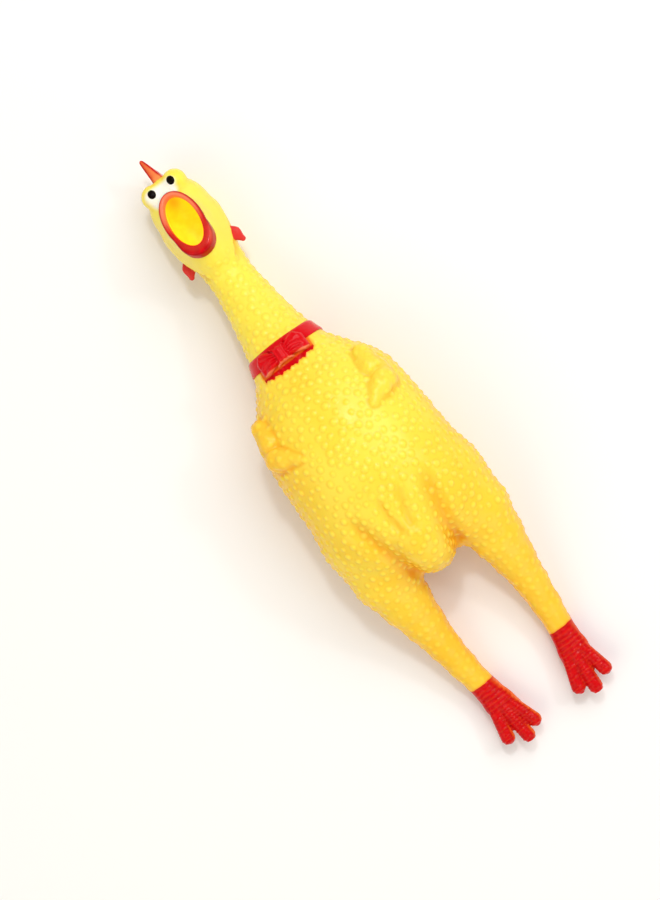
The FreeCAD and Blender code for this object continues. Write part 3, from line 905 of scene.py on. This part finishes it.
def build_skin():
    material = vinyl()
    points, quads, normals, numbers = make_skin()
    names = skin_regions(points, quads)
    points = flatten_edge(points, quads, names)
    pieces = {}
    for name in sorted(set(names)):
        # The inside of the beak takes the painted glow.
        look = painted_glow_vinyl() if name == "inside" else material
        pieces[name] = make_object("skin_" + name, points, quads[names == name], normals, look, numbers)
    attach_trunk(pieces)
    for side, _ in SIDES:
        attach_leg(pieces, side)


def blend_about(piece, joint, direction):
    """Bakes a piece's placing into its mesh."""
    middle, direction = joint_at(joint), np.array(direction)
    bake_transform(piece)


def attach_trunk(pieces):
    """Carries the body and the head, gives the belly its own mesh, and bakes the neck's pieces in place."""
    for name, body in (("torso", "torso"), ("belly", "torso"), ("head", "head"), ("inside", "head")):
        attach(pieces[name], body)
    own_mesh(pieces["belly"])
    for name, joint, half in NECK_BENDS:
        blend_about(pieces[name], joint, NECK_AXIS)
    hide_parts("torso_skin")
    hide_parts("belly_panel")
    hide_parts("neck_base_fold")
    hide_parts("neck_skin", "neck_top_fold")
    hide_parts("head_skin")


def attach_leg(pieces, side):
    """Bakes a leg's pieces in place, and carries its foot."""
    for name, joint, half in LEG_BENDS:
        blend_about(pieces[side + "_" + name], side + "_" + joint, (0, -1, 0))
    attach(pieces[side + "_foot"], side + "_foot")
    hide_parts(side + "_hip_fold", side + "_thigh")
    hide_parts(side + "_knee_fold", side + "_shank")
    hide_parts(side + "_ankle_fold")
    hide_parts(side + "_foot")


def place_piece(piece, body, nodes):
    """Carries a piece on its body, if it has only one, and hides the CAD nodes that it stands for."""
    if body:
        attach(piece, body)
    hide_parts(*nodes)


# ---- lips
LIP_TURNS, LIP_SECTION = 160, 36  # points round the rim, and round its section
LIP_SIDE, LIP_CROWN, LIP_UNDER = 2.4, 2.4, 4.7  # widths of the rim beside, above and under the opening
LIP_HEIGHTS = (3.0, 4.2)  # above the opening, and under it
LIP_OVERLAP = 0.3  # how far the rim reaches over the opening
LIP_BASE, LIP_SLOPE = 1.6, 0.22  # its middle, out of the mouth, and how it slopes down under the opening
LIP_SKIRT = (0.9, 1.3)  # how far its lower half reaches down, and how much further under the opening


def mouth_point(u, v, w):
    """From the mouth's own frame to the row frame, in millimetres."""
    y = MOUTH_CENTRE[1] + v * math.cos(MOUTH_LEAN) + w * math.sin(MOUTH_LEAN)
    z = MOUTH_CENTRE[2] - v * math.sin(MOUTH_LEAN) + w * math.cos(MOUTH_LEAN)
    return np.array((u, y, z))


def rounded(value, power):
    """A sine or a cosine made boxier, with its sign kept."""
    return np.sign(value) * np.abs(value) ** power


def lip_section(width, low, turn):
    """The rim's section: across it, and out of the beak. It is taller where low is 1."""
    height = LIP_HEIGHTS[0] + (LIP_HEIGHTS[1] - LIP_HEIGHTS[0]) * low
    across = width / 2 * (1 + rounded(np.cos(turn), 0.6))
    rise = LIP_BASE + height / 2 * rounded(np.sin(turn), 0.7) - LIP_SLOPE * across * low
    return across, rise - np.where(np.sin(turn) < -0.2, LIP_SKIRT[0] + LIP_SKIRT[1] * low, 0)


def lip_paint(ax, ay, low, share):
    """Where the rim's paint is thin, and where its edge is dark. share is 0 at the opening, 1 outside."""
    inner = 1 - ease(share, 0.02, 0.16)
    band = (1 - ease(share, 0.5, 0.82)) * (1 - inner * low)
    fall = ease(-ay - 0.15 * ax, -0.5, 0.4)
    underside = ease(share, 0.6, 0.95) * ease(ax, 0.1, 0.7) * low
    thin = np.minimum(1.0, 0.9 * band * (1 - 0.9 * fall) + 0.6 * underside)
    return thin, ease(share, 0.8, 0.97) * (1 - 0.6 * low)


def make_lips(material):
    """A rolled rim round the opening, thickest under it, drawn as a ring of rounded sections."""
    angle = 2 * math.pi * np.arange(LIP_TURNS)[:, None] / LIP_TURNS
    turn = 2 * math.pi * np.arange(LIP_SECTION)[None] / LIP_SECTION
    ax, ay = np.cos(angle), np.sin(angle)
    low, high = ease(-ay, 0.3, 0.98), ease(ay, 0.3, 0.98)
    width = LIP_SIDE + (LIP_UNDER - LIP_SIDE) * low + (LIP_CROWN - LIP_SIDE) * high
    across, rise = lip_section(width, ease(-ay, -0.7, 1.0), turn)
    out_u, out_v = ax / MOUTH_HALF[0], ay / MOUTH_HALF[1]
    reach = (across - LIP_OVERLAP) / np.hypot(out_u, out_v)
    points = mouth_point(ax * MOUTH_HALF[0] + out_u * reach, ay * MOUTH_HALF[1] + out_v * reach, rise)
    points = points.reshape(3, -1).T
    quads = ring_quads(LIP_TURNS, LIP_SECTION, closed=True)
    thin, edge = lip_paint(ax, ay, low, across / width)
    numbers = {"thin": thin.ravel(), "edge": edge.ravel()}
    lips = make_object("lips", points, quads, vertex_normals(points, quads), material, numbers)
    place_piece(lips, "head", ("mouth_rim",))


# ---- comb, wattles and pupils
COMB_ROOT = joint_at("comb_flex")
COMB_LEAN = math.radians(8.0)
# The fin's points: z and distance at the root end, z and distance at the tip, and the radii there.
COMB_POINTS = [
    (15.0, -5.6, 12.0, 1.2, 4.0, 1.0),
    (17.0, -5.6, 15.0, 4.6, 4.6, 0.9),
    (19.6, -5.6, 19.5, 10.5, 4.8, 0.9),
]
COMB_POINT_BLEND, COMB_ROUNDING = 0.8, 1.9
COMB_HALF, COMB_TAPER = 3.0, 1.95  # half its thickness at the root, and what it loses up to the tip
COMB_TAPER_Y = (-2.6, 11.4)  # where the taper starts and ends
COMB_ROOT_Y = (147.6, 150.6)  # where the thin paint at its root fades out
COMB_BOX = (-6, 138, 6), (6, 164, 30)
# The left wattle's middle line: x, y, z and radius.
WATTLE = np.array([
    (11.4, 111.4, 19.4, 2.0),
    (13.2, 107.4, 19.2, 2.9),
    (14.8, 103.4, 18.8, 1.3),
])
WATTLE_Z, WATTLE_HALF = 19.2, 2.0  # its middle height, and half its thickness
WATTLE_BLEND, WATTLE_ROUNDING = 1.2, 1.5
WATTLE_BOX = (6, 97, 14), (18, 114, 25)
FINE_VOXEL, COMB_VOXEL, COLLAR_VOXEL = 0.5, 0.55, 0.8
PUPIL_RINGS, PUPIL_AROUND = 6, 28
PUPIL_CENTRE, PUPIL_HALF = (5.35, 143.1), (2.05, 2.35)
PUPIL_DOME, PUPIL_SUNK = 0.34, 0.25  # how far its middle stands out, and how far its edge goes in


def comb_field(p):
    """A thin fin with a straight front and two small points behind, leaning a little to one side."""
    dx, dy = p[0] - COMB_ROOT[0], p[1] - COMB_ROOT[1]
    x = dx * math.cos(COMB_LEAN) + dy * math.sin(COMB_LEAN)
    y = -dx * math.sin(COMB_LEAN) + dy * math.cos(COMB_LEAN)
    flat = (np.zeros_like(x), y, p[2])
    parts = [
        cone(flat, (0, root_y, root_z), (0, tip_y, tip_z), root_radius, tip_radius)
        for root_z, root_y, tip_z, tip_y, root_radius, tip_radius in COMB_POINTS
    ]
    taper_start, taper_end = COMB_TAPER_Y
    half = COMB_HALF - COMB_TAPER * np.clip((y - taper_start) / (taper_end - taper_start), 0, 1)
    fin = smooth_max(merge(parts, COMB_POINT_BLEND), np.abs(x) - half, COMB_ROUNDING)
    return np.maximum(fin, -trunk(p, 1.6))


def place_red(name, function, box, voxel, body, nodes, material, paint):
    """A red piece from its own field, with its thin paint and its dark edges from paint."""
    points, quads, normals = field_mesh(function, *box, voxel)
    piece = make_object(name, points, quads, normals, material, paint(points, normals))
    place_piece(piece, body, nodes)
    return piece


def make_comb(material):
    def paint(points, normals):
        # A painted highlight: faces turned up towards the light are lighter orange, more on the fin's left
        # side; its root is lighter where the paint thins.
        front = ease(normals[:, 2], 0.72, 1.0)
        root = 1 - ease(points[:, 1], *COMB_ROOT_Y)
        side = ease(points[:, 0], -1.8, 0.6)
        return {"thin": np.clip(front * (0.45 + 0.4 * side) + 0.4 * root, 0, 1)}

    nodes = ("comb", "comb_root")
    comb = place_red("comb_fin", comb_field, COMB_BOX, COMB_VOXEL, None, nodes, material, paint)
    blend_about(comb, "comb_flex", (0, 1, 0))


def wattle_field(p):
    """The left wattle: a leaf that hangs from the jaw and points down and outwards."""
    return smooth_max(chain(p, WATTLE, WATTLE_BLEND), np.abs(p[2] - WATTLE_Z) - WATTLE_HALF, WATTLE_ROUNDING)


def make_wattles(material):
    def paint(points, _):
        return {"thin": np.full(len(points), 0.15)}

    low, high = WATTLE_BOX
    for side, sign in SIDES:
        def one_side(p, sign=sign):
            return wattle_field((p[0] * sign, p[1], p[2]))

        box = (low, high) if sign > 0 else ((-high[0], *low[1:]), (-low[0], *high[1:]))
        node = side + "_wattle"
        place_red("wattle_" + side, one_side, box, FINE_VOXEL, node, (node,), material, paint)


def surface_height(x, y):
    """Height of the skin over each place, found from above."""
    z = np.full(x.shape, 45.0)
    for _ in range(40):
        z -= 0.8 * field((x, y, z))
    return z


def make_pupils(material):
    """Glossy ovals on the fronts of the eyes."""
    share = np.arange(PUPIL_RINGS + 1)[:, None] / PUPIL_RINGS
    angle = 2 * math.pi * np.arange(PUPIL_AROUND)[None] / PUPIL_AROUND
    dome = PUPIL_DOME * np.sqrt(1 - share ** 2.5) - PUPIL_SUNK * (share == 1)
    for side, sign in SIDES:
        x = sign * PUPIL_CENTRE[0] + PUPIL_HALF[0] * share * np.cos(angle)
        y = PUPIL_CENTRE[1] + PUPIL_HALF[1] * share * np.sin(angle)
        points = np.array((x, y, dome + surface_height(x, y))).reshape(3, -1).T
        quads = ring_quads(PUPIL_RINGS + 1, PUPIL_AROUND)
        pupil = make_object("pupil_" + side, points, quads, vertex_normals(points, quads), material, {})
        place_piece(pupil, "head", (side + "_pupil",))


# ---- collar and bow
COLLAR_BOX = (-24, 38, 4), (24, 62, 50)
BOW_BOX = (-15, 38, 30), (15, 62, 54)
BOW_ALONG = -14.6  # the bow's middle, along the neck
BOW_LOW = -4.5  # its lower edge, up the neck from its middle
BOW_RADIUS, BOW_HALF = 18.2, 12.5  # how it curves round the neck, and half its width
LOOP_LIFT, LOOP_HALF = 0.9, (1.2, 0.9)  # its middle out of the curve, half its thickness, and what that gains
LOOP_ROUNDING, LOOP_EDGE_ROUNDING = 1.6, 1.3
PLEAT_HEIGHT, LOOP_HOLLOW = 0.55, 1.1
KNOT_HALF, KNOT_UP, KNOT_UP_HALF = 2.5, -0.7, 3.6  # half its width, its middle, and half its height
KNOT_LIFT, KNOT_THICK, KNOT_ROUNDING = 1.6, 2.0, 1.8
KNOT_PLEAT, KNOT_PLEATS, KNOT_BLEND = 0.22, 2.6, 0.5


def collar_field(p):
    """A band round the root of the neck that stands a little proud of the skin."""
    band = np.abs(along_neck(p) - collar_lift(p[2]) - COLLAR_MIDDLE) - COLLAR_HALF
    skin = trunk(p)
    return smooth_max(smooth_max(skin - COLLAR_RISE, band, 1.2), -(skin + COLLAR_SUNK), 0.3)


def bow_axes(p):
    """Across, up the neck and out of the front of the collar, from the bow's middle."""
    origin = NECK_BASE + NECK_AXIS * BOW_ALONG
    front = (0, -NECK_AXIS[2], NECK_AXIS[1])
    out = sum((p[i] - origin[i]) * front[i] for i in range(3))
    return p[0], along_neck(p) - BOW_ALONG, out


def bow_top(u):
    """The upper edge of the loops, at a distance u from the bow's middle."""
    return 2.9 + 1.9 * ease(u, 1.5, 7.5) - 1.8 * ease(u, 8.5, 13.0)


def bow_pleats(u, up):
    """Pleats that fan out from the knot: 1 on a ridge, -1 between ridges."""
    fan = (up - (bow_top(u) + BOW_LOW) / 2) / (0.9 + 0.34 * u)
    return np.cos(2 * math.pi * fan) * ease(u, 2.0, 4.0) * (1 - ease(u, 9.4, 11.2))


def bow_field(p):
    """Two pleated loops and a knot, curved round the front of the collar."""
    x, up, out = bow_axes(p)
    u = np.abs(x)
    lift = out - np.sqrt(np.maximum(BOW_RADIUS ** 2 - np.minimum(u, 15) ** 2, 1))
    half = LOOP_HALF[0] + LOOP_HALF[1] * ease(u, 1.5, 7.5)
    middle, half_up = (bow_top(u) + BOW_LOW) / 2, (bow_top(u) - BOW_LOW) / 2
    edge = smooth_max(np.abs(up - middle) - half_up, u - BOW_HALF, LOOP_EDGE_ROUNDING)
    loop = smooth_max(edge, np.abs(lift - LOOP_LIFT) - half, LOOP_ROUNDING)
    hollow = bell(u, 8.0, 2.6) * bell(up, middle + 0.4, 1.0)
    loop = loop - PLEAT_HEIGHT * bow_pleats(u, up) + LOOP_HOLLOW * hollow
    knot_edge = np.maximum(u - KNOT_HALF, np.abs(up - KNOT_UP) - KNOT_UP_HALF)
    knot = smooth_max(knot_edge, np.abs(lift - KNOT_LIFT) - KNOT_THICK, KNOT_ROUNDING)
    return smooth_min(loop, knot - KNOT_PLEAT * np.cos(x * KNOT_PLEATS), KNOT_BLEND)


def make_neckwear(material):
    def plain(points, normals):
        return {}

    def pleat_shade(points, _):
        x, up, _ = bow_axes(points.T)
        u = np.abs(x)
        # Painted shade in the valleys between the pleats and in the creases beside the knot.
        beside_knot = bell(u, 3.0, 0.5) * (np.abs(up - KNOT_UP) < 4.2)
        lines = np.clip(-0.9 * bow_pleats(u, up) + 0.8 * beside_knot, 0, 1)
        return {"thin": 0.85 * (1 - ease(up, -4.3, -3.8)), "edge": lines * ease(up, -3.8, -3.2)}

    nodes = ("collar",)
    place_red("collar_band", collar_field, COLLAR_BOX, COLLAR_VOXEL, "torso", nodes, material, plain)
    nodes = ("bow_loop_left", "bow_loop_right", "bow_knot")
    place_red("bow", bow_field, BOW_BOX, FINE_VOXEL, "torso", nodes, material, pleat_shade)


# ---- CAD parts that stay
def finish_cad():
    """Gives the squeaker's parts their materials."""
    white = plastic("squeaker_white", CREAM, DARK_CREAM, (0.35, 0.5))
    film = plastic("reed_film", FILM_BLUE, FILM_GREY, (0.12, 0.2))
    for name in ("squeaker_housing", "squeaker_cap", "reed_block", "reed_clip", "reed_tongue"):
        for obj in bpy.context.scene.objects:
            if obj.get("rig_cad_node") == name:
                for slot in obj.material_slots:
                    slot.material = film if name == "reed_tongue" else white


# ---- floor, light and camera, in metres
FLOOR_HALF = 3.0
LIGHT_TARGET = (0, 0, 0.02)
# The lights: name, place, size, power, colour.
LIGHTS = [
    ("key", (0.55, 0.35, 0.9), 0.9, 5.7, (1.0, 0.98, 0.95)),
    ("spark", (0.30, 0.42, 1.0), 0.10, 1.9, (1, 1, 1)),
    ("glint", (0.80, -0.05, 0.80), 0.12, 1.1, (1, 1, 1)),
    ("fill", (-0.7, -0.2, 0.7), 1.0, 3.4, (1.0, 0.88, 0.66)),
    ("low", (0.2, -0.9, 0.45), 0.8, 2.2, (1, 1, 1)),
]
WORLD_STRENGTH = 0.40
LENS, SENSOR = 85, 36  # millimetres
ROLL = math.radians(37.29)  # the toy lies head to the upper left in the picture
LEAN_OVER = math.radians(7.0)  # the camera stands a little to the toy's left
IMAGE_HEIGHT = 0.4071  # what the picture's height covers at the toy
CAMERA_TARGET = Vector((-0.0110, 0.0028, 0.026))


def add_floor():
    mesh = bpy.data.meshes.new("floor")
    corners = [(x * FLOOR_HALF, y * FLOOR_HALF, 0) for x, y in ((-1, -1), (1, -1), (1, 1), (-1, 1))]
    mesh.from_pydata(corners, [], [(0, 1, 2, 3)])
    mesh.materials.append(floor_look())
    add_object("floor", mesh)


def add_light(name, place, size, power, colour):
    """A round light that faces the toy."""
    light = bpy.data.lights.new(name, "AREA")
    light.shape = "DISK"
    light.size = size
    light.energy = power
    light.color = colour
    obj = add_object(name, light)
    obj.location = place
    obj.rotation_mode = "QUATERNION"
    obj.rotation_quaternion = (Vector(LIGHT_TARGET) - obj.location).to_track_quat("-Z", "Y")


def add_camera():
    camera = bpy.data.cameras.new("camera")
    camera.lens = LENS
    camera.sensor_width = SENSOR
    obj = add_object("camera", camera)
    distance = IMAGE_HEIGHT * camera.lens / camera.sensor_width
    back = Vector((math.sin(LEAN_OVER), 0, math.cos(LEAN_OVER)))
    up = Vector((math.sin(ROLL), math.cos(ROLL), 0))
    up = (up - back * up.dot(back)).normalized()
    rotation = Matrix((up.cross(back), up, back)).transposed()
    obj.matrix_world = Matrix.Translation(CAMERA_TARGET + back * distance) @ rotation.to_4x4()
    bpy.context.scene.camera = obj


def add_studio():
    add_floor()
    for light in LIGHTS:
        add_light(*light)
    world = bpy.data.worlds.new("studio")
    world.use_nodes = True
    background = world.node_tree.nodes["Background"]
    set_inputs(world, background, {"Color": (1, 1, 1), "Strength": WORLD_STRENGTH})
    bpy.context.scene.world = world
    bpy.context.scene.view_settings.view_transform = "Standard"


def build():
    build_skin()
    make_lips(gloss_paint("red_paint", DEEP_RED, RED, PINK))
    make_comb(gloss_paint("comb_paint", DEEP_RED, RED, LIGHT_ORANGE))
    make_wattles(gloss_paint("wattle_paint", RED, CRIMSON, PINK))
    make_pupils(gloss_paint("black_paint", BLACK, SOFT_BLACK, BROWN_BLACK, 0.06))
    make_neckwear(gloss_paint("bow_paint", RED, BRIGHT_RED, PINK, 0.17))
    finish_cad()
    add_studio()
    add_camera()


build()
